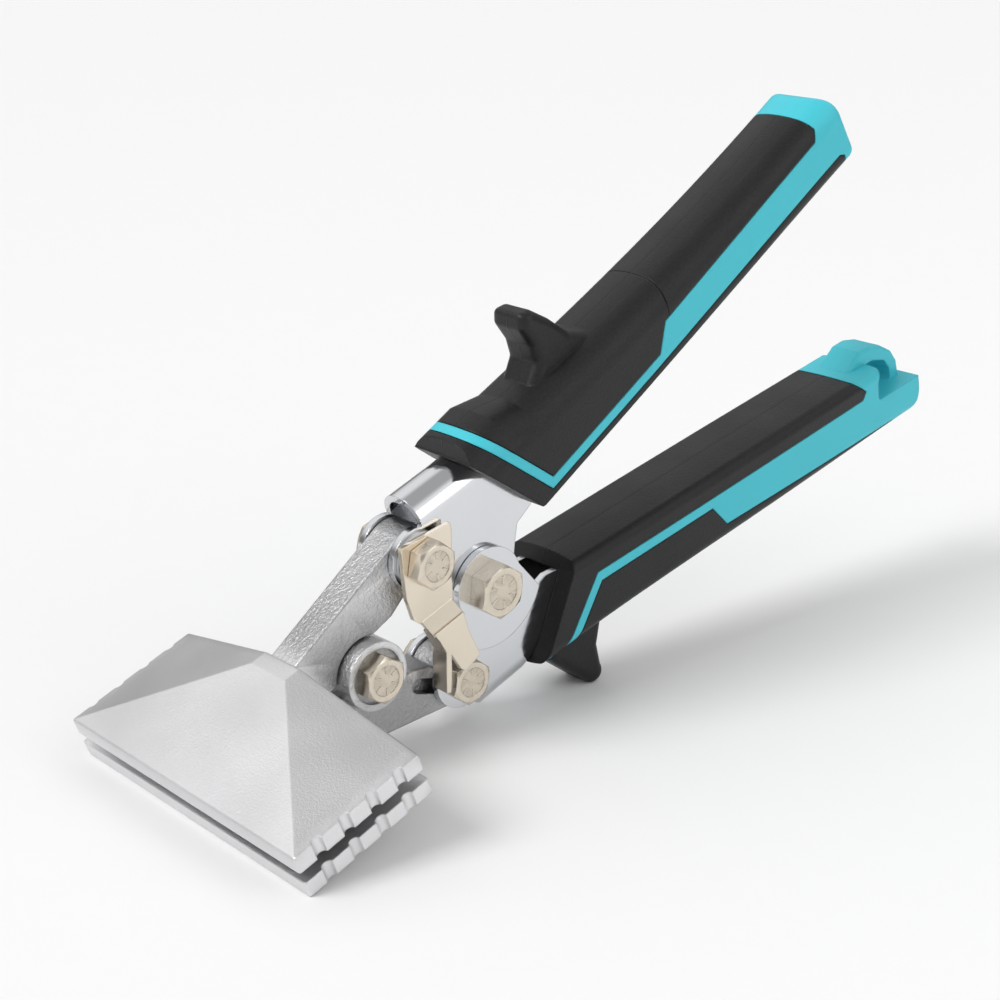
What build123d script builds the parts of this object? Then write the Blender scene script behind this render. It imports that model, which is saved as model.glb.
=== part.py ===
from build123d import *
from math import atan2, asin, cos, degrees, hypot, radians, sin, sqrt
import os

# Compound hand seamer for sheet metal: two wide jaws that meet edge to edge, driven by a four-bar
# linkage of two jaw arms and two handle channels, with a swinging latch and moulded grips.
#
# The tool is drawn in its own frame: x runs from the front edge of the jaws to the handles, y is the
# direction of every bolt (the bolt heads point to -y), and z = 0 is the plane between the jaws.
# At the end the whole tool is stood on the floor, on the lower jaw's front edge and the finger guard.

# ---------------------------------------------------------------- driving dimensions (millimetres)
JAW_WIDTH = 76.2          # 3 in along the bend
JAW_DEPTH = 31.0          # front edge to back edge
JAW_GAP = 2.6             # between the jaws when the tool is latched
LIP_THICKNESS = 3.5       # vertical front face of each jaw
CREST_HEIGHT = 11.2       # highest edge of the jaw's wedge, above its flat face
CREST_LENGTH = 4.0        # along x, at the back edge
CREST_WIDTH = 11.0        # along y
JAW_EDGE_ROUND = 0.6
NOTCH_COUNT = 4           # half-round depth marks on each end of a jaw
NOTCH_PITCH = 6.7
NOTCH_RADIUS = 1.25
NOTCH_DEPTH = 1.05

ARM_THICKNESS = 8.0       # cast web of a jaw, along y
ARM_EYE_RADIUS = 6.3      # round end of the web at its handle bolt
HUB_RADIUS = 7.4          # half-lapped ears on the jaw pivot
HUB_REACH = 7.4           # outer face of an ear, from the middle plane
LAP_CLEARANCE = 0.1       # each side of the half-lap joint
HUB_RECESS = 0.5          # gap between an ear and the other jaw's web
HUB_RIM_DEPTH = 0.8       # counterbore that seats the pivot bolt
HUB_RIM_WIDTH = 1.5

PIVOT_X = 45.2            # jaw pivot
DRIVE_X = 64.5            # the two bolts that join the arms to the handles
DRIVE_Z = 15.8
HINGE_X = 77.3            # handle pivot

SHEET = 1.6               # sheet of the handle channels
ARM_CLEARANCE = 0.12      # between an arm and the cheek beside it
LOBE_CLEARANCE = 0.15     # between the two channels at the handle pivot
CHANNEL_EYE_RADIUS = 6.8  # cheek around a drive bolt
CHEEK_DISC_RADIUS = 7.9   # upper cheek around the handle pivot
LOBE_RADIUS = 8.7         # lower cheek around the handle pivot
DISC_RELIEF = 1.0         # gap around the upper disc inside the lower cheek's joggle
CROWN_Z = 27.2            # rounded back of a channel
CROWN_ROUND = 4.9
EAR_TOP = 20.8            # flat top of a cheek's ear, in front of the back
NOSE_X = 67.8             # front end of a channel's back

SMALL_BOLT = 5.5          # shank diameter of three bolts
SMALL_AF = 9.0            # across flats
SMALL_HEAD = 3.5
LARGE_BOLT = 7.0
LARGE_AF = 10.5
LARGE_HEAD = 4.2
NUT_HEIGHT = 4.2
THREAD_END = 1.2          # bolt that shows past its nut
RUNNING_FIT = 0.06        # radial clearance of a bolt that turns in its hole
OPEN_PIVOT_FIT = 0.18     # radial clearance at the linkage's open pivot

WASHER_THICKNESS = 0.8
WASHER_RADIUS = 6.0
LATCH_SHEET = 1.2
LATCH_PLAY = 0.1          # each side of the latch on its bolt
LATCH_OVER_HEAD = 0.25    # the latch's tip above the tang bolt's head
LATCH_FLANGE = 4.4        # depth of the folded edge

GRIP_WIDTH = 20.5
GRIP_SKIN = 1.5           # soft cover over the hard core
END_ROUND = 2.2           # edges of the upper grip's end face
END_HEIGHT = 18.0         # both grips' height at the far end
INNER_ARCH = 0.8          # crown of a grip's side towards the other handle
INNER_ROUND = 2.4         # its corners
INLAY_GROOVE = 0.18       # fine gap around the coloured inlay
UPPER_GRIP_ANGLE = 12.4   # grip's inner line against the jaw plane
LOWER_GRIP_ANGLE = 7.9
UPPER_GRIP_START = (100.0, 9.1)
LOWER_GRIP_START = (100.0, -7.6)
UPPER_GRIP_LENGTH = 112.0
LOWER_GRIP_LENGTH = 119.0
UPPER_TIP_ROUND = 5.0     # end of a grip in side view
LOWER_TIP_ROUND = 7.0

SPRING_WIRE = 1.4
SPRING_TURNS = 2
SPRING_CLEARANCE = 0.35   # around the sleeve
SPRING_LEG_CLEARANCE = 1.6  # under the upper channel's back, which comes closer as the jaws close
LOWER_LEG_CLEARANCE = 0.7  # to the lower channel's back, which slopes there
COIL_GAP = 0.25
SLEEVE_WALL = 1.2

# ---------------------------------------------------------------- places worked out from them
PIVOT = (PIVOT_X, 0)
ARM_BOLT = (DRIVE_X, DRIVE_Z)
TANG_BOLT = (DRIVE_X, -DRIVE_Z)
HINGE = (HINGE_X, 0)

FLAT_Z = JAW_GAP / 2                                   # flat face of the upper jaw
LIP_TOP = FLAT_Z + LIP_THICKNESS
WEB = ARM_THICKNESS / 2
CHEEK_IN = WEB + ARM_CLEARANCE
CHEEK_OUT = CHEEK_IN + SHEET
LOBE_IN = CHEEK_OUT + LOBE_CLEARANCE
LOBE_OUT = LOBE_IN + SHEET
LATCH_IN = CHEEK_OUT + WASHER_THICKNESS + LATCH_PLAY
LATCH_OUT = LATCH_IN + LATCH_SHEET
ARM_HEAD_SEAT = LATCH_OUT + LATCH_PLAY
TIP_IN = CHEEK_OUT + SMALL_HEAD + LATCH_OVER_HEAD


# ---------------------------------------------------------------- drawing helpers
def slab(face, y_low, y_high):
    """A flat outline drawn in x and z, given thickness from y_low to y_high."""
    return extrude(Plane.XZ.offset(-y_high) * face, amount=y_high - y_low)


def outline(*points):
    return make_face(Polyline(*points, close=True))


def disc(centre, radius):
    return Pos(*centre) * Circle(radius)


def bar_between(first, second, radius):
    """Round-ended bar outline between two centres, with the same radius at both."""
    length = hypot(second[0] - first[0], second[1] - first[1])
    angle = degrees(atan2(second[1] - first[1], second[0] - first[0]))
    middle = ((first[0] + second[0]) / 2, (first[1] + second[1]) / 2)
    return Pos(*middle) * Rot(0, 0, angle) * SlotOverall(length + 2 * radius, 2 * radius)


def hole(centre, radius, y_low=-40, y_high=40):
    return slab(disc(centre, radius), y_low, y_high)


def toward_front(centre, y):
    """Plane on a bolt's axis whose z points to -y, where the heads are."""
    return Plane(origin=(centre[0], y, centre[1]), x_dir=(1, 0, 0), z_dir=(0, -1, 0))


def toward_back(centre, y):
    return Plane(origin=(centre[0], y, centre[1]), x_dir=(1, 0, 0), z_dir=(0, 1, 0))


def mirrored(shape):
    """The same shape on the other side of the jaw plane."""
    return mirror(shape, about=Plane.XY)


# ---------------------------------------------------------------- bolts and nuts
def hexagon(across_flats, height, turn):
    """Hexagonal prism with its top corners turned off."""
    corner = across_flats / sqrt(3)
    prism = extrude(RegularPolygon(corner, 6, rotation=turn), amount=height)
    turned = Pos(0, 0, height / 2) * Cylinder(corner, height)
    turned = chamfer(turned.edges().group_by(Axis.Z)[-1], 0.45, 0.9)
    return prism & turned


def bolt(centre, seat, far_end, diameter, across_flats, head, turn):
    """Hex bolt whose head sits on the plane y = -seat and whose shank ends at y = far_end."""
    body = hexagon(across_flats, head, turn)
    recess = Pos(0, 0, head) * Cylinder(across_flats * 0.36, 0.3)
    body -= recess
    for step in range(6):
        mark = Rot(0, 0, 60 * step + 12) * Pos(across_flats * 0.26, 0, head - 0.1)
        body += mark * Box(across_flats * 0.16, 0.28, 0.2)
    length = seat + far_end
    shank = Pos(0, 0, -length / 2) * Cylinder(diameter / 2, length)
    shank = chamfer(shank.edges().group_by(Axis.Z)[0], 0.5)
    return toward_front(centre, -seat).location * (body + shank)


def nut(centre, seat, diameter, across_flats, turn):
    """Lock nut on the far side, with the round collar that holds its nylon ring."""
    collar = Pos(0, 0, NUT_HEIGHT * 0.82) * Cylinder(across_flats * 0.42, NUT_HEIGHT * 0.36)
    collar = fillet(collar.edges().group_by(Axis.Z)[-1], 0.6)
    body = hexagon(across_flats, NUT_HEIGHT * 0.72, turn) + collar
    body -= Cylinder(diameter / 2, 4 * NUT_HEIGHT)
    return toward_back(centre, seat).location * body


# ---------------------------------------------------------------- jaws
def jaw_wedge():
    """Wide jaw of the upper side: a lip, and a four-sided wedge that rises to the arm."""
    middle = (JAW_DEPTH / 2, 0)
    lip = Pos(*middle, FLAT_Z + LIP_THICKNESS / 2) * Box(JAW_DEPTH, JAW_WIDTH, LIP_THICKNESS)
    base = Pos(*middle, LIP_TOP) * Rectangle(JAW_DEPTH, JAW_WIDTH)
    crest_x = JAW_DEPTH - CREST_LENGTH / 2
    crest = Pos(crest_x, 0, FLAT_Z + CREST_HEIGHT) * Rectangle(CREST_LENGTH, CREST_WIDTH)
    jaw = lip + loft([base, crest])
    jaw = fillet(jaw.edges().filter_by(lambda e: e.center().Z > FLAT_Z + 0.1), JAW_EDGE_ROUND)
    first = (JAW_DEPTH - (NOTCH_COUNT - 1) * NOTCH_PITCH) / 2
    for index in range(NOTCH_COUNT):
        for side in (-1, 1):
            y = side * (JAW_WIDTH / 2 + NOTCH_RADIUS - NOTCH_DEPTH)
            jaw -= Pos(first + index * NOTCH_PITCH, y, 0) * Cylinder(NOTCH_RADIUS, 4 * CREST_HEIGHT)
    return jaw


def arm_outline():
    """Side view of the upper jaw's web, from inside the wedge to the eye at the handle."""
    eye_top = (DRIVE_X - 1.6, DRIVE_Z + ARM_EYE_RADIUS * 0.97)
    web = outline(
        (JAW_DEPTH - 4, FLAT_Z + 0.4), (JAW_DEPTH - 4, FLAT_Z + CREST_HEIGHT - 0.7),
        (JAW_DEPTH - 0.5, FLAT_Z + CREST_HEIGHT - 0.3), (PIVOT_X, 16.6), eye_top,
        (DRIVE_X, DRIVE_Z), (DRIVE_X - 5.4, DRIVE_Z - 6.6), (DRIVE_X - 9.6, 7.2),
        (PIVOT_X, 6.0), (PIVOT_X - 6, FLAT_Z + 0.4),
    )
    return web + disc(ARM_BOLT, ARM_EYE_RADIUS)


def jaw(ear_side):
    """Upper jaw with its arm; the ear on the pivot stands on the given side of the middle plane."""
    web = slab(arm_outline(), -WEB, WEB)
    web = fillet(web.edges().filter_by(lambda e: abs(abs(e.center().Y) - WEB) < 0.01), 0.4)
    body = jaw_wedge() + web
    inner, outer = LAP_CLEARANCE * ear_side, HUB_REACH * ear_side
    ear = slab(disc(PIVOT, HUB_RADIUS), min(inner, outer), max(inner, outer))
    neck = outline((PIVOT_X - HUB_RADIUS, FLAT_Z + 0.4), (PIVOT_X - HUB_RADIUS, 9),
                   (PIVOT_X + 5.5, 12), (PIVOT_X + 5.5, 3))
    body += slab(neck, min(inner, WEB * ear_side), max(inner, WEB * ear_side))
    other = slab(disc(PIVOT, HUB_RADIUS + HUB_RECESS), min(inner, -3 * outer), max(inner, -3 * outer))
    body = body - other + ear
    seat = HUB_REACH - HUB_RIM_DEPTH
    rim = hole(PIVOT, HUB_RADIUS - HUB_RIM_WIDTH, min(seat * ear_side, 2 * outer),
               max(seat * ear_side, 2 * outer))
    return body - rim


def upper_jaw():
    """Its ear is on the far side and turns on the pivot bolt."""
    body = jaw(1) - hole(PIVOT, SMALL_BOLT / 2 + RUNNING_FIT)
    return body - hole(ARM_BOLT, SMALL_BOLT / 2)


def lower_jaw():
    """Mirror of the upper jaw; its ear is on the near side and holds the pivot bolt."""
    body = jaw(-1)
    pocket = bar_between((DRIVE_X - 9.5, DRIVE_Z - 4.2), (DRIVE_X - 5.5, DRIVE_Z - 1.2), 1.7)
    body -= slab(pocket, -2 * WEB, -WEB + 2.2)
    body -= hole(PIVOT, SMALL_BOLT / 2)
    return mirrored(body - hole(ARM_BOLT, SMALL_BOLT / 2 + RUNNING_FIT))


# ---------------------------------------------------------------- handle channels
# Line of each channel's back in side view, from its nose to its end inside the grip
UPPER_BACK = ((NOSE_X, CROWN_Z), (88.0, CROWN_Z), (188.0, 41.0))
LOWER_BACK = ((NOSE_X, CROWN_Z), (80.5, CROWN_Z), (101.0, 22.6), (192.0, 34.0))
CHANNEL_END_DEPTH = 9.0   # a cheek's height at its end inside the grip


def channel_block(back, neck_points):
    """Outer shape of a handle channel, filled and open towards the jaw plane; drawn for the
    upper side."""
    ear = [(DRIVE_X, DRIVE_Z - 3), (DRIVE_X - 4, EAR_TOP), (NOSE_X, EAR_TOP)]
    end_low = (back[-1][0], back[-1][1] - CHANNEL_END_DEPTH)
    side = outline(*ear, *back, end_low, *neck_points) + disc(ARM_BOLT, CHANNEL_EYE_RADIUS)
    block = slab(side, -CHEEK_OUT, CHEEK_OUT)
    return fillet(crown_edges(block, CHEEK_OUT, back), CROWN_ROUND)


def channel_hollow(back):
    """Space between the cheeks, under the rounded back."""
    ends = [(back[0][0] - 30, back[0][1])] + list(back[1:-1]) + [(back[-1][0] + 5, back[-1][1])]
    crown = [(x, z - SHEET) for x, z in ends]
    inside = outline(*crown, (crown[-1][0], -40), (crown[0][0], -40))
    hollow = slab(inside, -CHEEK_IN, CHEEK_IN)
    return fillet(crown_edges(hollow, CHEEK_IN, crown), CROWN_ROUND - SHEET)


def crown_edges(body, half_width, crown):
    """Long edges of a channel's back, at full width."""
    low = min(z for x, z in crown) - 0.05

    def on_crown(edge):
        c = edge.center()
        level = abs((edge % 0.5).Z) < 0.6
        return level and abs(abs(c.Y) - half_width) < 0.01 and c.Z > low and edge.length > 5

    return body.edges().filter_by(on_crown)


def upper_block():
    neck = [(100, 12.4), (94.2, 8.9), (89.9, 7.4), (88.3, 4.6), (86.0, 0), (HINGE_X, -3),
            (69.9, -1), (69.4, 7), (DRIVE_X + 3, 9.8)]
    return channel_block(UPPER_BACK, neck)


def upper_channel():
    body = upper_block() - channel_hollow(UPPER_BACK)
    cheek_disc = slab(disc(HINGE, CHEEK_DISC_RADIUS), CHEEK_IN, CHEEK_OUT)
    body += cheek_disc + mirror(cheek_disc, about=Plane.XZ)
    body -= hole(HINGE, LARGE_BOLT / 2 + RUNNING_FIT)
    return body - hole(ARM_BOLT, SMALL_BOLT / 2 + OPEN_PIVOT_FIT)


def lobe_outline():
    """Raised part of the lower cheek: round about the handle pivot, with a wide curved foot."""
    r = LOBE_RADIUS
    left, right = (HINGE_X - r + 0.3, 11.0), (HINGE_X + r + 3.2, 8.2)
    foot = ThreePointArc(left, (HINGE_X + 0.5, 14.0), right)
    sides = [Line(right, (HINGE_X + r, 0)), Line((HINGE_X + r, 0), (HINGE_X - r, 0)),
             Line((HINGE_X - r, 0), left)]
    return make_face([foot] + sides) + disc(HINGE, r)


def lower_block():
    """Filled shape of the lower channel, drawn for the upper side."""
    neck = [(110, 15.0), (97.6, 11.6), (95.9, 9.4), (92.7, 8.6), (90.8, 9.0), (HINGE_X + 4, 9.5),
            (DRIVE_X + 4, 9.8)]
    return channel_block(LOWER_BACK, neck)


def lower_channel():
    """Its cheeks step outwards around the handle pivot, to pass outside the upper channel."""
    body = lower_block() - channel_hollow(LOWER_BACK)
    body -= hole(HINGE, CHEEK_DISC_RADIUS + DISC_RELIEF)
    lobe = lobe_outline()
    step = lobe - disc(HINGE, CHEEK_DISC_RADIUS + DISC_RELIEF)
    step -= outline((HINGE_X - 20, -20), (HINGE_X + 20, -20), (HINGE_X + 20, 9.2), (HINGE_X - 20, 9.2))
    one_side = slab(lobe, LOBE_IN, LOBE_OUT) + slab(step, CHEEK_IN, LOBE_OUT)
    body += one_side + mirror(one_side, about=Plane.XZ)
    body -= hole(HINGE, LARGE_BOLT / 2)
    return mirrored(body - hole(ARM_BOLT, SMALL_BOLT / 2))


# ---------------------------------------------------------------- latch
def latch():
    """Plate on the arm bolt: a thumb tab above, and a waisted strut below that steps out over the
    tang bolt's head; a flange is folded inwards from its front edge."""
    x, z = ARM_BOLT
    upper = outline((x - 4.4, z + 6.2), (x + 8.4, z + 4.0), (x + 8.2, z + 2.6), (x + 4.6, z - 7.0),
                    (x + 3.1, z - 12.0), (x - 6.0, z - 12.0), (x - 7.3, z - 10.0), (x - 7.2, z - 4.6),
                    (x - 5.9, z + 0.8))
    lower = outline((x - 5.6, z - 14.0), (x + 2.6, z - 14.0), (x + 2.4, z - 19.0), (x + 3.1, z - 25.6),
                    (x - 1.5, z - 26.6), (x - 2.4, z - 25.4), (x - 3.6, z - 20.0), (x - 5.0, z - 16.0))
    foot_in, foot_out = TIP_IN, TIP_IN + LATCH_SHEET
    body = slab(upper, -LATCH_OUT, -LATCH_IN) + slab(lower, -foot_out, -foot_in)
    ramp = make_face(Polyline((-LATCH_IN, z - 11.5), (-LATCH_OUT, z - 11.5), (-foot_out, z - 14.5),
                              (-foot_in, z - 14.5), close=True))
    body += extrude(Plane.YZ.offset(x - 5.8) * ramp, amount=8.6)
    flange = outline((x - 5.2, z - 14.5), (x - 4.2, z - 14.5), (x - 3.0, z - 19.5), (x - 4.6, z - 24.0),
                     (x - 6.6, z - 28.6), (x - 7.6, z - 28.0), (x - 6.0, z - 23.6), (x - 4.4, z - 19.5))
    body += slab(flange, -foot_out, -foot_out + LATCH_FLANGE)
    return body - hole(ARM_BOLT, SMALL_BOLT / 2 + RUNNING_FIT)


def latch_washer():
    ring = slab(disc(ARM_BOLT, WASHER_RADIUS), -CHEEK_OUT - WASHER_THICKNESS, -CHEEK_OUT - 0.05)
    return ring - hole(ARM_BOLT, SMALL_BOLT / 2)


# ---------------------------------------------------------------- spring inside the channels
def spring_sleeve():
    tube = slab(disc(HINGE, LARGE_BOLT / 2 + SLEEVE_WALL), -CHEEK_IN + 0.05, CHEEK_IN - 0.05)
    return tube - hole(HINGE, LARGE_BOLT / 2)


def opening_spring():
    """Torsion spring around the sleeve, with one straight leg under each channel's back."""
    radius = LARGE_BOLT / 2 + SLEEVE_WALL + SPRING_CLEARANCE + SPRING_WIRE / 2
    height = (SPRING_WIRE + COIL_GAP) * SPRING_TURNS
    reach = CROWN_Z - SHEET - SPRING_WIRE / 2 - 0.1
    coil = Helix(SPRING_WIRE + COIL_GAP, height, radius)
    upper_leg = Line((coil @ 0) - (coil % 0) * (reach - SPRING_LEG_CLEARANCE), coil @ 0)
    lower_leg = Line(coil @ 1, (coil @ 1) + (coil % 1) * (reach - LOWER_LEG_CLEARANCE))
    section = Plane(origin=upper_leg @ 0, z_dir=upper_leg % 0) * Circle(SPRING_WIRE / 2)
    wire = sweep(section, path=Wire([upper_leg, coil, lower_leg]), is_frenet=True)
    return Plane(origin=(HINGE_X, -height / 2, 0), x_dir=(1, 0, 0), z_dir=(0, 1, 0)).location * wire


# ---------------------------------------------------------------- grips
class GripFrame:
    """Coordinates along a grip: s along its inner line, n outwards from it."""

    def __init__(self, start, angle, side):
        self.start, self.side = start, side
        self.cos, self.sin = cos(radians(angle)), sin(radians(angle))

    def at(self, s, n):
        x = self.start[0] + s * self.cos - n * self.sin
        z = self.start[1] + self.side * (s * self.sin + n * self.cos)
        return (x, z)

    def plane(self, s):
        """Section plane whose own x is the tool's y and whose own y points outwards."""
        x, z = self.at(s, 0)
        along = (self.cos, 0, self.side * self.sin)
        return Plane(origin=(x, 0, z), x_dir=(0, self.side, 0), z_dir=along)

    def area(self, *points):
        return outline(*[self.at(*p) for p in points])


UPPER = GripFrame(UPPER_GRIP_START, UPPER_GRIP_ANGLE, 1)
LOWER = GripFrame(LOWER_GRIP_START, LOWER_GRIP_ANGLE, -1)


def grip_section(frame, s, height, width, outer_arch, outer_round, skin):
    """Closed section: flat flanks, a slightly crowned side each way, and rounded corners."""
    half = width / 2 - skin
    low, high = skin, height - skin
    bottom = ThreePointArc((-half, low + INNER_ARCH), (0, low), (half, low + INNER_ARCH))
    right = Line((half, low + INNER_ARCH), (half, high - outer_arch))
    top = ThreePointArc((half, high - outer_arch), (0, high), (-half, high - outer_arch))
    left = Line((-half, high - outer_arch), (-half, low + INNER_ARCH))
    face = make_face([bottom, right, top, left])
    face = fillet(face.vertices().group_by(Axis.Y)[0], max(INNER_ROUND - skin, 0.5))
    outer = face.vertices().filter_by(lambda v: v.Y > high - outer_arch - 0.01)
    face = fillet(outer, outer_round - skin)
    return frame.plane(s) * face


def grip_solid(frame, stations, skin=0):
    return loft([grip_section(frame, *station, skin) for station in stations])


# Stations of a grip: place along it, height, width, crown and corner of its outer side
UPPER_STATIONS = [
    (-30, 25.4, GRIP_WIDTH + 0.5, 2.5, 7.5), (6, 22.3, GRIP_WIDTH, 2.2, 7),
    (42, 19.2, GRIP_WIDTH, 2.0, 6.5), (78, 17.7, GRIP_WIDTH - 0.5, 2.0, 6),
    (UPPER_GRIP_LENGTH, END_HEIGHT, GRIP_WIDTH - 0.5, 2.0, 6),
]
LOWER_STATIONS = [
    (-30, 22, GRIP_WIDTH + 0.5, 1.2, 3.2), (7.5, 19.4, GRIP_WIDTH, 1.2, 3.2),
    (45, 18.8, GRIP_WIDTH, 1.2, 3.2), (82.5, 18.4, GRIP_WIDTH - 0.5, 1.2, 3.2),
    (LOWER_GRIP_LENGTH, END_HEIGHT, GRIP_WIDTH - 1, 1.2, 3.2),
]


def rounded_end(frame, length, tip_round):
    """Side view of a grip whose far end is rounded off at its outer corner."""
    face = frame.area((-80, -60), (length, -60), (length, 40), (-80, 40))
    s, n = length - tip_round, END_HEIGHT - tip_round
    corner = frame.area((s, n), (length + 9, n), (length + 9, 40), (s, 40))
    return slab(face - corner + disc(frame.at(s, n), tip_round), -40, 40)


UPPER_FRONT = ((-4.4, 0), (-15.4, 26))     # slanted front face, as (s, n) at its two ends
LOWER_FRONT = ((-1.2, 0), (-15.6, 21))
LOWER_BAND = ((3.9, 5.7), (-12.3, 23.4))   # front edge of the lower grip's coloured band
BAND_SET_BACK = 4.4                        # from the front face to the coloured band
LINE_WIDTH = 2.1                           # thin part of the inlay


def strip(frame, first, second, near, far):
    """Band parallel to the line first-second, between two set-backs behind it."""
    ds, dn = second[0] - first[0], second[1] - first[1]
    length = hypot(ds, dn)
    back = (dn / length, -ds / length)
    ends = ((first, near), (second, near), (second, far), (first, far))
    return frame.area(*[(p[0] + back[0] * d, p[1] + back[1] * d) for p, d in ends])


def beyond(line, amount):
    """The same line, lengthened at both ends."""
    (s0, n0), (s1, n1) = line
    ds, dn = (s1 - s0) * amount, (n1 - n0) * amount
    return (s0 - ds, n0 - dn), (s1 + ds, n1 + dn)


def upper_inlay_area():
    """Coloured parts of the upper grip in side view: band, thin line, wide stripe and end cap."""
    first, second = beyond(UPPER_FRONT, 0.6)
    band = strip(UPPER, first, second, BAND_SET_BACK, BAND_SET_BACK + LINE_WIDTH)
    band -= UPPER.area((-40, -40), (60, -40), (60, 3.4), (-40, 3.4))
    line = UPPER.area((-0.6, 3.4), (36, 3.4), (38, 5.5), (-1.5, 5.5))
    stripe = UPPER.area((35, 3.4), (38, 5.5), (43, 10.8), (101, 12.2), (103, 14.4), (101, 24),
                        (140, 24), (140, -8), (108, -8), (108, 3.2), (106.5, 4.2))
    return band + line + stripe


def lower_inlay_area():
    band = strip(LOWER, *LOWER_BAND, 0, LINE_WIDTH)
    line = LOWER.area((3.9, 5.7), (42, 5.7), (42, 8.0), (3.4, 8.0))
    stripe = LOWER.area((41, 5.7), (97, 5.7), (98.6, 3.9), (92.5, -2), (92.5, -20), (140, -20),
                        (140, 30), (109, 30), (109, 16.4), (107.5, 15.9), (45, 14.0), (41, 8.0))
    return band + line + stripe


def in_front(frame, line, set_back):
    """Everything in front of a slanted line, or of a line set back behind it, in side view."""
    first, second = beyond(line, 2)
    return slab(strip(frame, first, second, -60, set_back), -40, 40)


def horn(profile, half_width, rounding):
    """Thumb horn or finger guard: a side profile with its two long edges well rounded."""
    body = slab(profile, -half_width, half_width)
    return fillet(body.edges().filter_by(lambda e: abs(abs(e.center().Y) - half_width) < 0.01),
                  rounding)


def thumb_horn():
    side = outline((100, 26), (104.5, 32.5), (107.8, 36.0), (107.9, 40.0), (106.4, 44.8),
                   (107.4, 47.8), (110.4, 47.4), (114.4, 43), (118, 38), (124, 34.4), (124, 28))
    return horn(fillet(side.vertices(), 1.2), 5.2, 2.2)


GUARD_TIP = (98.3, -41.0)
GUARD_TIP_RADIUS = 2.8


def finger_guard():
    x, z = GUARD_TIP
    side = outline((84, -22), (86.5, -28.0), (90.6, -34.2), (x - 2.4, z - 1.4), (x, z),
                   (x + 2.7, z + 0.7), (101.6, -35), (104.6, -30.0), (110, -27.0), (110, -22))
    return horn(side + disc(GUARD_TIP, GUARD_TIP_RADIUS), 5.2, 2.2)


def grip_pieces(outer, core, inlay, channel_piece, block):
    """Splits a grip into its hard coloured core, which shows as the inlay, and its soft covers."""
    coloured = slab(inlay, -40, 40)
    grown = slab(offset(inlay, INLAY_GROOVE), -40, 40)
    hard = core + (outer & coloured) - channel_piece
    soft = outer - grown - core - block
    return hard, soft


def end_rounded(grip, frame, length):
    """Rounds the edges of a grip's end face."""
    def on_end(edge):
        c = edge.center()
        dx, dz = c.X - frame.start[0], (c.Z - frame.start[1]) * frame.side
        return dx * frame.cos + dz * frame.sin > length - 0.4

    return fillet(grip.edges().filter_by(on_end), END_ROUND)


def collar_ridge():
    """Raised ring around the mouth of the upper grip; it slopes down to the grip behind it."""
    rings = ((-20, 26.6), (-3.4, 25.9), (5.4, 21.9))
    sections = [grip_section(UPPER, s, h, GRIP_WIDTH - 0.8, 2.5, 6.5, 0) for s, h in rings]
    return loft(sections, ruled=True)


# Bevels at the lower and upper corner of the collar's mouth, as (s, n)
COLLAR_CORNERS = (((-5.8, -1), (-5.8, 2.4), (-2.4, -0.1), (-2.4, -1)),
                  ((-16.4, 23.2), (-13.9, 23.2), (-11.4, 27.5), (-16.4, 27.5)))


def upper_grip():
    outer = grip_solid(UPPER, UPPER_STATIONS) & rounded_end(UPPER, UPPER_GRIP_LENGTH, UPPER_TIP_ROUND)
    outer = end_rounded(outer, UPPER, UPPER_GRIP_LENGTH)
    outer += collar_ridge() + thumb_horn()
    core = grip_solid(UPPER, UPPER_STATIONS, GRIP_SKIN)
    core &= rounded_end(UPPER, UPPER_GRIP_LENGTH - GRIP_SKIN, UPPER_TIP_ROUND)
    outer -= in_front(UPPER, UPPER_FRONT, 0)
    for corner in COLLAR_CORNERS:
        outer -= slab(UPPER.area(*corner), -40, 40)
    core -= in_front(UPPER, UPPER_FRONT, BAND_SET_BACK)
    hard, soft = grip_pieces(outer, core, upper_inlay_area(), upper_channel(), upper_block())
    seam = slab(UPPER.area((43.2, 8), (43.2 + INLAY_GROOVE, 8), (49, 24), (49 - INLAY_GROOVE, 24)),
                -40, 40)
    return hard, (soft - seam).solids()


LOOP_HALF = 4.6           # half the width of the hang loop
CAP_STEP = 8.3            # the cap's end is lower than the grip by this


def hang_loop():
    side = LOWER.area((95, 4), (98.3, 0.0), (101.2, -1.7), (103.9, -3.2), (107.7, -3.2), (111.8, -1.8),
                      (115.8, 1.3), (117.6, 4.5), (118.0, 10), (95, 10))
    body = slab(fillet(side.vertices(), 0.9), -LOOP_HALF, LOOP_HALF)
    body = fillet(body.edges().filter_by(lambda e: abs(abs(e.center().Y) - LOOP_HALF) < 0.01), 1.0)
    eye = LOWER.area((102.9, CAP_STEP), (103.3, 3.6), (105.0, 0.6), (107.8, 0.6), (112.4, 2.4),
                     (114.2, 5.4), (114.2, CAP_STEP))
    return body, slab(fillet(eye.vertices(), 0.9), -40, 40)


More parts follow.
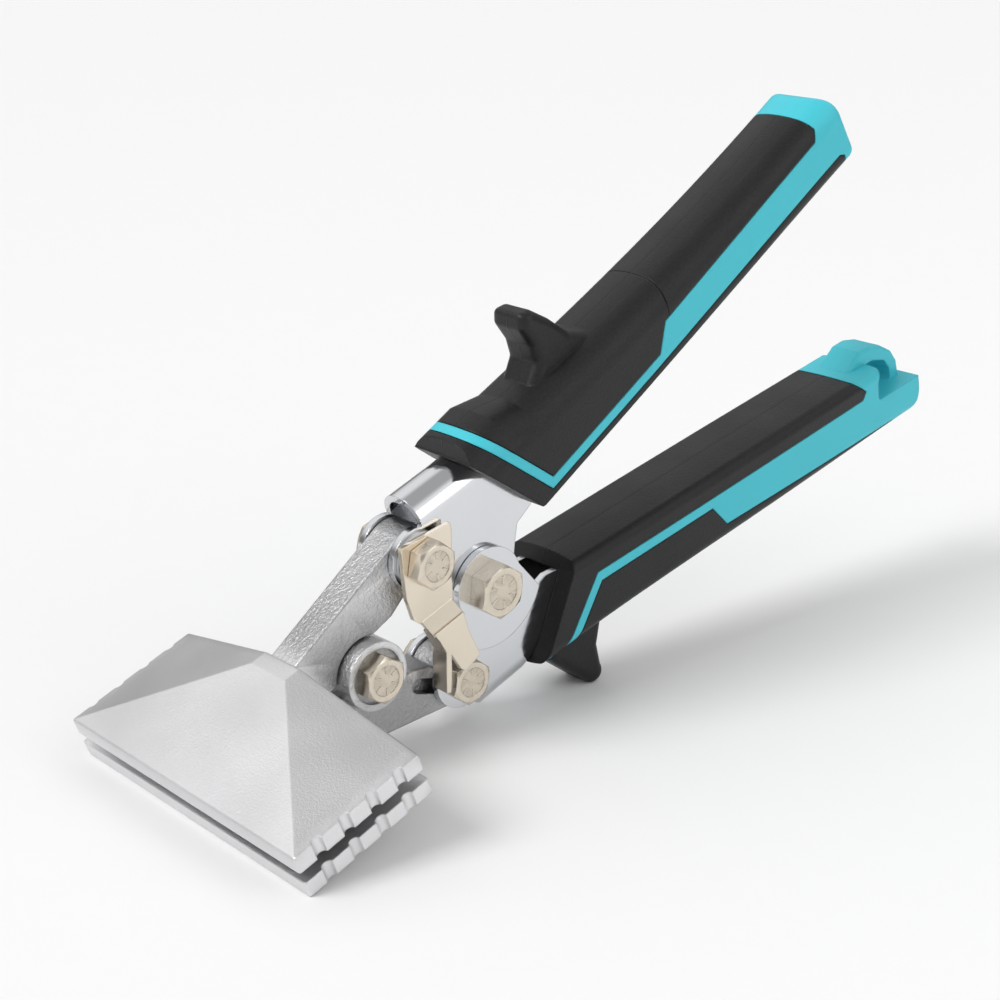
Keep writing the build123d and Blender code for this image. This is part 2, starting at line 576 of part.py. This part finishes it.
def lower_grip():
    outer = grip_solid(LOWER, LOWER_STATIONS) & rounded_end(LOWER, LOWER_GRIP_LENGTH, LOWER_TIP_ROUND)
    for index in range(4):
        s = 9.5 + 9.4 * index
        groove = LOWER.area((s - 3.2, 30), (s - 2.6, 18.4), (s + 2.0, 18.2), (s + 3.2, 19.2),
                            (s + 3.2, 30))
        outer -= slab(groove, -40, 40)
    outer += finger_guard()
    core = grip_solid(LOWER, LOWER_STATIONS, GRIP_SKIN)
    core &= rounded_end(LOWER, LOWER_GRIP_LENGTH - GRIP_SKIN, LOWER_TIP_ROUND)
    outer -= in_front(LOWER, LOWER_FRONT, 0)
    core -= in_front(LOWER, LOWER_BAND, 0)
    pocket = slab(LOWER.area((103, -20), (105.5, CAP_STEP), (130, CAP_STEP), (130, -20)), -40, 40)
    loop, eye = hang_loop()
    hard, soft = grip_pieces(outer, core, lower_inlay_area(), lower_channel(), mirrored(lower_block()))
    return (hard - pocket + loop) - eye, (soft - loop).solids()


# ---------------------------------------------------------------- the whole tool
def build():
    upper_core, upper_soft = upper_grip()
    lower_core, lower_soft = lower_grip()
    upper_soft = sorted(upper_soft, key=lambda s: s.volume)[-3:]
    rear = max(upper_soft, key=lambda s: s.center().X)
    upper_soft.remove(rear)
    thumb = max(upper_soft, key=lambda s: s.center().Z)
    upper_soft.remove(thumb)
    lower_soft = sorted(lower_soft, key=lambda s: s.volume)[-2:]
    top = max(lower_soft, key=lambda s: s.center().Z)
    lower_soft.remove(top)
    return {
        "upper_jaw": upper_jaw(),
        "lower_jaw": lower_jaw(),
        "upper_channel": upper_channel(),
        "lower_channel": lower_channel(),
        "upper_grip_core": upper_core,
        "upper_thumb_cover": thumb,
        "upper_rear_cover": rear,
        "upper_collar_cover": upper_soft[0],
        "lower_grip_core": lower_core,
        "lower_top_cover": top,
        "lower_finger_cover": lower_soft[0],
        "jaw_pivot_bolt": bolt(PIVOT, HUB_REACH - HUB_RIM_DEPTH, HUB_REACH + NUT_HEIGHT,
                               SMALL_BOLT, SMALL_AF, SMALL_HEAD, 8),
        "jaw_pivot_nut": nut(PIVOT, HUB_REACH - HUB_RIM_DEPTH + 0.05, SMALL_BOLT, SMALL_AF, 20),
        "arm_bolt": bolt(ARM_BOLT, ARM_HEAD_SEAT, CHEEK_OUT + NUT_HEIGHT + THREAD_END,
                         SMALL_BOLT, SMALL_AF, SMALL_HEAD, 0),
        "arm_nut": nut(ARM_BOLT, CHEEK_OUT + 0.05, SMALL_BOLT, SMALL_AF, 10),
        "tang_bolt": bolt(TANG_BOLT, CHEEK_OUT, CHEEK_OUT + NUT_HEIGHT + THREAD_END,
                          SMALL_BOLT, SMALL_AF, SMALL_HEAD, 0),
        "tang_nut": nut(TANG_BOLT, CHEEK_OUT, SMALL_BOLT, SMALL_AF, 25),
        "handle_pivot_bolt": bolt(HINGE, LOBE_OUT, LOBE_OUT + NUT_HEIGHT + THREAD_END,
                                  LARGE_BOLT, LARGE_AF, LARGE_HEAD, 4),
        "handle_pivot_nut": nut(HINGE, LOBE_OUT, LARGE_BOLT, LARGE_AF, 15),
        "latch": latch(),
        "latch_washer": latch_washer(),
        "spring_sleeve": spring_sleeve(),
        "opening_spring": opening_spring(),
    }


def stance():
    """Turn about y that puts the lower jaw's front edge and the finger guard on one level."""
    x, z = GUARD_TIP[0], GUARD_TIP[1] + LIP_TOP
    return degrees(atan2(-z, x) + asin(GUARD_TIP_RADIUS / hypot(x, z)))


os.makedirs("parts", exist_ok=True)
pieces = {name: Rot(0, -stance(), 0) * piece for name, piece in build().items()}
box = Compound(children=[Compound(piece.wrapped) for piece in pieces.values()]).bounding_box()
shift = Pos(-(box.min.X + box.max.X) / 2, -(box.min.Y + box.max.Y) / 2, -box.min.Z)
for name, piece in pieces.items():
    export_step(shift * piece, f"parts/{name}.step")
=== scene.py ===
from math import cos, radians, sin

import bpy
from mathutils import Matrix, Vector

bl_info = {
    "name": "Sheet metal hand seamer",
    "version": (1, 0, 0),
    "blender": (4, 5, 0),
    "location": "View3D > Sidebar > Seamer",
    "description": "Finishes for a compound hand seamer, with its stage and camera",
    "category": "Object",
}

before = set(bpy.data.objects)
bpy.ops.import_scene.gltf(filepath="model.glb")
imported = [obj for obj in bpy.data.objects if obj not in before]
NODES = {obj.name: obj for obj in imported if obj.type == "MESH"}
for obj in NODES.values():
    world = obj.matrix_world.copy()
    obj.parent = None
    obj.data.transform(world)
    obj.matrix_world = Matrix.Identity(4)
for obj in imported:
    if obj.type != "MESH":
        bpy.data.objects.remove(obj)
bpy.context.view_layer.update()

# The tool stands on its lower jaw's front edge and its finger guard, so its own axes are turned
# about y against the floor. Grain, brushing and machined faces follow the tool's own axes.
STANCE = radians(21.748)
# Along the tool, where a jaw's wedge gives way to its arm, which keeps its rough cast skin
ARM_FROM = -0.068
ARM_FULL = -0.062
# The lower grip's mouth, where black painted shade covers the front of the coloured core
MOUTH_HALF = 0.0089
MOUTH_END = 0.0160
MOUTH_TOP = 0.0435
MOUTH_LOW = 0.0200
MOUTH_PAINTED_SHADE = (0.012, 0.012, 0.013, 1.0)


# ---------------------------------------------------------------- node helpers
class Shader:
    """A material with a Principled shader, and short calls that add and join nodes."""

    def __init__(self, name):
        self.material = bpy.data.materials.new(name)
        self.material.use_nodes = True
        self.tree = self.material.node_tree
        self.surface = self.tree.nodes["Principled BSDF"]

    def node(self, kind, **values):
        node = self.tree.nodes.new(kind)
        for name, value in values.items():
            setattr(node, name, value)
        return node

    def join(self, source, target):
        self.tree.links.new(source, target)

    def place(self):
        """Texture coordinates in metres, along the tool's own axes."""
        coordinates = self.node("ShaderNodeTexCoord")
        turn = self.node("ShaderNodeMapping")
        turn.inputs["Rotation"].default_value = (0, STANCE, 0)
        self.join(coordinates.outputs["Object"], turn.inputs["Vector"])
        return turn.outputs["Vector"]

    def stretch(self, place, scale):
        mapping = self.node("ShaderNodeMapping")
        mapping.inputs["Scale"].default_value = scale
        self.join(place, mapping.inputs["Vector"])
        return mapping.outputs["Vector"]

    def noise(self, place, size, detail=2.0, roughness=0.5):
        """Noise whose features are about size metres across; a value from 0 to 1."""
        noise = self.node("ShaderNodeTexNoise")
        noise.inputs["Scale"].default_value = 1 / size
        noise.inputs["Detail"].default_value = detail
        noise.inputs["Roughness"].default_value = roughness
        self.join(place, noise.inputs["Vector"])
        return noise.outputs["Fac"]

    def cells(self, place, size):
        """Distance to the nearest cell centre, for pebbled grain."""
        cells = self.node("ShaderNodeTexVoronoi", feature="SMOOTH_F1")
        cells.inputs["Scale"].default_value = 1 / size
        self.join(place, cells.inputs["Vector"])
        return cells.outputs["Distance"]

    def remap(self, value, low, high, new_low, new_high):
        """Value from low..high mapped to new_low..new_high, and held there outside it."""
        node = self.node("ShaderNodeMapRange")
        limits = {"From Min": low, "From Max": high, "To Min": new_low, "To Max": new_high}
        for name, number in limits.items():
            node.inputs[name].default_value = number
        self.join(value, node.inputs["Value"])
        return node.outputs["Result"]

    def combine(self, operation, first, second):
        node = self.node("ShaderNodeMath", operation=operation)
        for socket, value in zip(node.inputs, (first, second)):
            if isinstance(value, (int, float)):
                socket.default_value = value
            else:
                self.join(value, socket)
        return node.outputs["Value"]

    def blend(self, share, first, second):
        """Mix of two colours by a share from 0 to 1."""
        mix = self.node("ShaderNodeMix", data_type="RGBA")
        self.join(share, mix.inputs["Factor"])
        for socket, colour in ((mix.inputs["A"], first), (mix.inputs["B"], second)):
            if isinstance(colour, tuple):
                socket.default_value = colour
            else:
                self.join(colour, socket)
        return mix.outputs["Result"]

    def soft_edges(self, radius):
        """Normal that rounds sharp edges over a small radius."""
        bevel = self.node("ShaderNodeBevel", samples=4)
        bevel.inputs["Radius"].default_value = radius
        return bevel.outputs["Normal"]

    def axes(self, place):
        """The three coordinates of a place, as sockets named X, Y and Z."""
        apart = self.node("ShaderNodeSeparateXYZ")
        self.join(place, apart.inputs["Vector"])
        return apart.outputs

    def parting_line(self, place, half_width):
        """1 on the line where the two halves of a mould met, in the middle plane."""
        distance = self.combine("ABSOLUTE", self.axes(place)["Y"], 0.0)
        return self.remap(distance, half_width * 0.5, half_width, 1, 0)

    def outer_edge_mask(self):
        """1 along outer edges, from the mesh's pointiness."""
        geometry = self.node("ShaderNodeNewGeometry")
        return self.remap(geometry.outputs["Pointiness"], 0.52, 0.60, 0, 1)

    def painted_hollow_shade(self):
        """1 in inner corners, where painted shade darkens the colour."""
        geometry = self.node("ShaderNodeNewGeometry")
        return self.remap(geometry.outputs["Pointiness"], 0.40, 0.49, 1, 0)

    def relief(self, height, depth, distance=0.001, under=None):
        """Bump from a height of 0 to 1; depth is its strength."""
        bump = self.node("ShaderNodeBump")
        bump.inputs["Strength"].default_value = depth
        bump.inputs["Distance"].default_value = distance
        self.join(height, bump.inputs["Height"])
        if under is not None:
            self.join(under, bump.inputs["Normal"])
        return bump.outputs["Normal"]

    def finish(self, colour, roughness, normal=None, metallic=0.0, specular=0.5):
        self.join(colour, self.surface.inputs["Base Color"])
        self.join(roughness, self.surface.inputs["Roughness"])
        if normal is not None:
            self.join(normal, self.surface.inputs["Normal"])
        self.surface.inputs["Metallic"].default_value = metallic
        self.surface.inputs["Specular IOR Level"].default_value = specular
        return self.material


def shade(colour, factor):
    return (colour[0] * factor, colour[1] * factor, colour[2] * factor, 1.0)


# ---------------------------------------------------------------- finishes
def cast_jaw_finish(colour, grain):
    """Satin chrome over a cast surface: a fine pebble grain, coarser and darker on the arms."""
    s = Shader("jaw_satin_chrome")
    place = s.place()
    pebbles = s.cells(place, grain)
    fine = s.noise(place, grain * 0.45, 3.0, 0.6)
    cloud = s.noise(place, 0.018, 2.0)
    height = s.combine("ADD", pebbles, fine)
    rough = s.remap(cloud, 0.3, 0.7, 0.34, 0.42)
    tint = s.blend(cloud, shade(colour, 0.94), shade(colour, 1.03))
    on_arm = s.remap(s.axes(place)["X"], ARM_FROM, ARM_FULL, 0, 1)
    as_cast = s.blend(pebbles, shade(colour, 0.50), shade(colour, 0.68))
    tint = s.blend(on_arm, tint, as_cast)
    # Colour made lighter along outer edges
    tint = s.blend(s.outer_edge_mask(), tint, shade(colour, 1.10))
    normal = s.relief(height, 0.20, 0.0002, s.soft_edges(0.0005))
    coarse = s.combine("MULTIPLY", s.noise(place, grain * 2.4, 3.0, 0.7), on_arm)
    normal = s.relief(coarse, 0.55, 0.0005, normal)
    return s.finish(tint, rough, normal, metallic=1.0)


def chrome_finish(colour):
    """Polished chrome on pressed sheet: soft ripples from the press and faint polishing lines."""
    s = Shader("channel_chrome")
    place = s.place()
    ripple = s.noise(place, 0.022, 1.0)
    lines = s.noise(s.stretch(place, (60, 900, 900)), 1.0, 2.0)
    rough = s.remap(lines, 0.3, 0.7, 0.10, 0.16)
    tint = s.blend(ripple, shade(colour, 0.95), shade(colour, 1.02))
    normal = s.relief(ripple, 0.10, 0.0012, s.soft_edges(0.0003))
    normal = s.relief(lines, 0.03, 0.0001, normal)
    return s.finish(tint, rough, normal, metallic=1.0)


def nickel_finish(name, colour, sheen_range, grain):
    """Warm nickel plate, slightly tumbled, lighter along outer edges, with painted shade darkening
    its inner corners.
    """
    s = Shader(name)
    place = s.place()
    grit = s.noise(place, grain, 4.0, 0.65)
    cloud = s.noise(place, 0.006, 2.0)
    rough = s.remap(cloud, 0.3, 0.7, *sheen_range)
    tint = s.blend(cloud, shade(colour, 0.90), shade(colour, 1.05))
    # Colour made lighter along outer edges
    tint = s.blend(s.outer_edge_mask(), tint, shade(colour, 1.15))
    # Painted shade: inner corners darkened to about a third of the nickel's colour
    tint = s.blend(s.painted_hollow_shade(), tint, shade(colour, 0.35))
    normal = s.relief(grit, 0.10, 0.0002, s.soft_edges(0.0003))
    return s.finish(tint, rough, normal, metallic=1.0)


def plain_steel_finish(name, colour, roughness):
    s = Shader(name)
    place = s.place()
    grit = s.noise(s.stretch(place, (400, 4000, 400)), 1.0, 3.0)
    rough = s.remap(grit, 0.3, 0.7, roughness - 0.06, roughness + 0.06)
    tint = s.blend(grit, shade(colour, 0.85), shade(colour, 1.05))
    return s.finish(tint, rough, s.relief(grit, 0.2, 0.0001), metallic=1.0)


def inlay_finish(colour):
    """Coloured hard plastic with a spark-eroded mould texture, and black painted shade over the
    core's front within the lower grip's mouth.
    """
    s = Shader("inlay_plastic")
    place = s.place()
    axes = s.axes(place)
    across = s.combine("ABSOLUTE", axes["Y"], 0.0)
    # Mask of the lower grip's mouth, where black painted shade covers the core's front
    mouth_shade_mask = s.combine("LESS_THAN", across, MOUTH_HALF)
    for operation, axis, limit in (("LESS_THAN", "X", MOUTH_END), ("LESS_THAN", "Z", MOUTH_TOP),
                                   ("GREATER_THAN", "Z", MOUTH_LOW)):
        mouth_shade_mask = s.combine("MULTIPLY", mouth_shade_mask, s.combine(operation, axes[axis], limit))
    grit = s.noise(place, 0.0004, 3.0, 0.6)
    cloud = s.noise(place, 0.02, 2.0)
    rough = s.remap(grit, 0.3, 0.7, 0.40, 0.52)
    tint = s.blend(cloud, shade(colour, 0.94), shade(colour, 1.05))
    # Painted shade: the core's front within the mouth turns black
    tint = s.blend(mouth_shade_mask, tint, MOUTH_PAINTED_SHADE)
    normal = s.relief(grit, 0.10, 0.0002, s.soft_edges(0.0006))
    return s.finish(tint, rough, normal, specular=0.45)


def cover_finish(colour):
    """Soft black overmould: fine leather-like grain, with painted highlights on the grain's high
    places and painted shade in its dips.
    """
    s = Shader("cover_rubber")
    place = s.place()
    grain = s.noise(place, 0.0006, 4.0, 0.62)
    cloud = s.noise(place, 0.014, 3.0)
    rough = s.remap(cloud, 0.3, 0.7, 0.40, 0.48)
    # Painted highlight and shade: colour lighter where the grain's bump is high, darker where it
    # is low
    tint = s.blend(s.remap(grain, 0.35, 0.7, 0, 1), shade(colour, 0.7), shade(colour, 1.5))
    normal = s.relief(s.parting_line(place, 0.00018), 0.5, 0.0002, s.soft_edges(0.0006))
    normal = s.relief(grain, 0.35, 0.0002, normal)
    return s.finish(tint, rough, normal, specular=0.36)


# ---------------------------------------------------------------- properties
class SeamerFinish(bpy.types.PropertyGroup):
    """Colours and grain sizes of the tool's finishes."""

    jaw: bpy.props.FloatVectorProperty(
        name="Jaws", description="Satin chrome of the cast jaws",
        subtype="COLOR", default=(0.70, 0.70, 0.71), min=0, max=1)
    jaw_grain: bpy.props.FloatProperty(
        name="Jaw grain", description="Size of the casting's pebbles",
        default=0.00038, min=0.0001, max=0.005, unit="LENGTH")
    channel: bpy.props.FloatVectorProperty(
        name="Channels", description="Polished chrome of the handle channels",
        subtype="COLOR", default=(0.70, 0.71, 0.73), min=0, max=1)
    nickel: bpy.props.FloatVectorProperty(
        name="Nickel", description="Bolts, nuts and latch",
        subtype="COLOR", default=(0.68, 0.61, 0.51), min=0, max=1)
    nickel_grain: bpy.props.FloatProperty(
        name="Nickel grain", description="Size of the tumbled grain",
        default=0.0005, min=0.0001, max=0.005, unit="LENGTH")
    inlay: bpy.props.FloatVectorProperty(
        name="Inlay", description="Hard plastic that shows between the covers",
        subtype="COLOR", default=(0.055, 0.56, 0.66), min=0, max=1)
    cover: bpy.props.FloatVectorProperty(
        name="Covers", description="Soft overmould",
        subtype="COLOR", default=(0.008, 0.008, 0.009), min=0, max=1)


class SeamerStage(bpy.types.PropertyGroup):
    """Camera, lights and floor."""

    aim: bpy.props.FloatVectorProperty(
        name="Aim", description="Point that the camera looks at",
        subtype="XYZ", unit="LENGTH", default=(-0.01715, 0.00884, 0.04409))
    azimuth: bpy.props.FloatProperty(
        name="Azimuth", description="Camera's direction round the tool; 0 looks along +Y",
        default=radians(-42.357), unit="ROTATION")
    elevation: bpy.props.FloatProperty(
        name="Elevation", description="Camera's height above the horizon",
        default=radians(18.809), unit="ROTATION")
    roll: bpy.props.FloatProperty(
        name="Roll", description="Camera's turn about its line of sight",
        default=radians(0.802), unit="ROTATION")
    distance: bpy.props.FloatProperty(
        name="Distance", description="From the camera to the aim",
        default=0.42022, min=0.05, unit="LENGTH")
    lens: bpy.props.FloatProperty(
        name="Lens", description="Focal length on a 36 mm wide sensor",
        default=69.45, min=10, max=300)
    room: bpy.props.FloatProperty(
        name="Room light", description="Strength of the light from the room",
        default=1.0, min=0, max=4)
    sun: bpy.props.FloatProperty(
        name="Key light", description="Strength of the soft key light",
        default=1.6, min=0, max=10)
    floor_colour: bpy.props.FloatVectorProperty(
        name="Floor", description="Colour of the floor",
        subtype="COLOR", default=(0.90, 0.90, 0.90), min=0, max=1)


def finish_settings():
    return bpy.context.scene.seamer_finish


def stage_settings():
    return bpy.context.scene.seamer_stage


# ---------------------------------------------------------------- pieces
def coat(names, material):
    """Gives CAD nodes one material."""
    for name in names:
        node = NODES[name]
        node.data.materials.clear()
        node.data.materials.append(material)


class SEAMER_OT_jaws(bpy.types.Operator):
    """Finish the two cast jaws"""
    bl_idname = "seamer.jaws"
    bl_label = "Jaws"

    def execute(self, context):
        f = finish_settings()
        coat(("upper_jaw", "lower_jaw"), cast_jaw_finish(f.jaw, f.jaw_grain))
        return {"FINISHED"}


class SEAMER_OT_channels(bpy.types.Operator):
    """Finish the two handle channels"""
    bl_idname = "seamer.channels"
    bl_label = "Channels"

    def execute(self, context):
        coat(("upper_channel", "lower_channel"), chrome_finish(finish_settings().channel))
        return {"FINISHED"}


class SEAMER_OT_fasteners(bpy.types.Operator):
    """Finish the bolts and nuts"""
    bl_idname = "seamer.fasteners"
    bl_label = "Bolts and nuts"

    def execute(self, context):
        f = finish_settings()
        nickel = nickel_finish("bolt_nickel", f.nickel, (0.20, 0.30), f.nickel_grain)
        joints = ("jaw_pivot", "arm", "tang", "handle_pivot")
        coat([f"{joint}_{kind}" for joint in joints for kind in ("bolt", "nut")], nickel)
        return {"FINISHED"}


class SEAMER_OT_latch(bpy.types.Operator):
    """Finish the latch, its washer and the spring parts"""
    bl_idname = "seamer.latch"
    bl_label = "Latch and spring"

    def execute(self, context):
        f = finish_settings()
        coat(["latch"], nickel_finish("latch_nickel", f.nickel, (0.16, 0.25), f.nickel_grain))
        plain = plain_steel_finish("plain_steel", (0.60, 0.61, 0.62), 0.35)
        coat(["latch_washer", "spring_sleeve"], plain)
        coat(["opening_spring"], plain_steel_finish("spring_steel", (0.35, 0.35, 0.36), 0.32))
        return {"FINISHED"}


class SEAMER_OT_grips(bpy.types.Operator):
    """Finish the coloured cores and the soft covers of both grips"""
    bl_idname = "seamer.grips"
    bl_label = "Grips"

    def execute(self, context):
        f = finish_settings()
        coat(("upper_grip_core", "lower_grip_core"), inlay_finish(f.inlay))
        covers = ("upper_collar_cover", "upper_thumb_cover", "upper_rear_cover",
                  "lower_top_cover", "lower_finger_cover")
        coat(covers, cover_finish(f.cover))
        return {"FINISHED"}


# ---------------------------------------------------------------- stage
FLOOR_SIZE = 40
KEY_SPREAD = radians(28)


def floor_finish(colour):
    s = Shader("floor_white")
    grain = s.noise(s.place(), 0.01, 2.0)
    tint = s.blend(grain, shade(colour, 0.995), shade(colour, 1.005))
    return s.finish(tint, s.remap(grain, 0, 1, 0.75, 0.85), specular=0.1)


def make_floor(colour):
    bpy.ops.mesh.primitive_plane_add(size=FLOOR_SIZE, location=(0, 0, 0))
    floor = bpy.context.object
    floor.name = "floor"
    floor.data.materials.append(floor_finish(colour))


def make_camera(s):
    """Camera on a sphere round its aim, at the given azimuth and elevation, turned by its roll."""
    level = cos(s.elevation)
    back = Vector((sin(s.azimuth) * level, -cos(s.azimuth) * level, sin(s.elevation)))
    data = bpy.data.cameras.new("camera")
    data.lens = s.lens
    data.sensor_width = 36
    data.clip_start = 0.01
    data.clip_end = 20
    camera = bpy.data.objects.new("camera", data)
    bpy.context.scene.collection.objects.link(camera)
    camera.location = Vector(s.aim) + back * s.distance
    turn = (-back).to_track_quat("-Z", "Y").to_matrix() @ Matrix.Rotation(s.roll, 3, "Z")
    camera.rotation_euler = turn.to_euler()
    bpy.context.scene.camera = camera


def make_light(name, place, size, power, aim):
    data = bpy.data.lights.new(name, "AREA")
    data.shape = "RECTANGLE"
    data.size, data.size_y = size
    data.energy = power
    light = bpy.data.objects.new(name, data)
    bpy.context.scene.collection.objects.link(light)
    light.location = place
    light.rotation_euler = (Vector(aim) - Vector(place)).to_track_quat("-Z", "Y").to_euler()


def make_sun(place, strength):
    """Wide soft key that lights the whole floor evenly."""
    data = bpy.data.lights.new("key", "SUN")
    data.energy = strength
    data.angle = KEY_SPREAD
    light = bpy.data.objects.new("key", data)
    bpy.context.scene.collection.objects.link(light)
    light.location = place
    light.rotation_euler = (-Vector(place)).to_track_quat("-Z", "Y").to_euler()


def make_world(strength):
    """Studio room by height: pale at the floor, dark walls, a bright band, a dimmer ceiling."""
    world = bpy.data.worlds.new("studio")
    world.use_nodes = True
    tree = world.node_tree
    background = tree.nodes["Background"]
    direction = tree.nodes.new("ShaderNodeTexCoord")
    apart = tree.nodes.new("ShaderNodeSeparateXYZ")
    ramp = tree.nodes.new("ShaderNodeValToRGB")
    tree.links.new(direction.outputs["Generated"], apart.inputs["Vector"])
    tree.links.new(apart.outputs["Z"], ramp.inputs["Fac"])
    tree.links.new(ramp.outputs["Color"], background.inputs["Color"])
    walls = ((0.0, 0.70), (0.08, 0.22), (0.26, 0.26), (0.46, 0.80), (0.72, 1.05), (0.90, 0.48))
    elements = ramp.color_ramp.elements
    while len(elements) < len(walls):
        elements.new(0.5)
    for element, (height, grey) in zip(elements, walls):
        element.position = height
        element.color = (grey, grey, grey, 1)
    background.inputs["Strength"].default_value = strength
    bpy.context.scene.world = world


class SEAMER_OT_stage(bpy.types.Operator):
    """Add the floor, the lights and the camera"""
    bl_idname = "seamer.stage"
    bl_label = "Stage"

    def execute(self, context):
        s = stage_settings()
        make_floor(s.floor_colour)
        make_world(s.room)
        make_sun((-0.75, 0.20, 0.75), s.sun)
        make_light("side", (0.35, -0.95, 0.40), (0.35, 0.7), 1.2, (0, 0, 0.06))
        make_camera(s)
        bpy.context.scene.view_settings.view_transform = "Standard"
        return {"FINISHED"}


# ---------------------------------------------------------------- panel and registration
class SEAMER_PT_panel(bpy.types.Panel):
    """Steps and settings of the hand seamer"""
    bl_idname = "SEAMER_PT_panel"
    bl_label = "Hand seamer"
    bl_space_type = "VIEW_3D"
    bl_region_type = "UI"
    bl_category = "Seamer"

    def draw(self, context):
        layout = self.layout
        for operator in OPERATORS:
            layout.operator(operator.bl_idname)
        for group in (context.scene.seamer_finish, context.scene.seamer_stage):
            column = layout.column(align=True)
            for name in group.__annotations__:
                column.prop(group, name)


OPERATORS = (SEAMER_OT_jaws, SEAMER_OT_channels, SEAMER_OT_fasteners, SEAMER_OT_latch,
             SEAMER_OT_grips, SEAMER_OT_stage)
CLASSES = (SeamerFinish, SeamerStage) + OPERATORS + (SEAMER_PT_panel,)


def register():
    for item in CLASSES:
        bpy.utils.register_class(item)
    bpy.types.Scene.seamer_finish = bpy.props.PointerProperty(type=SeamerFinish)
    bpy.types.Scene.seamer_stage = bpy.props.PointerProperty(type=SeamerStage)


def unregister():
    del bpy.types.Scene.seamer_stage
    del bpy.types.Scene.seamer_finish
    for item in reversed(CLASSES):
        bpy.utils.unregister_class(item)


def main():
    register()
    bpy.ops.seamer.jaws()
    bpy.ops.seamer.channels()
    bpy.ops.seamer.fasteners()
    bpy.ops.seamer.latch()
    bpy.ops.seamer.grips()
    bpy.ops.seamer.stage()


if __name__ == "__main__":
    main()
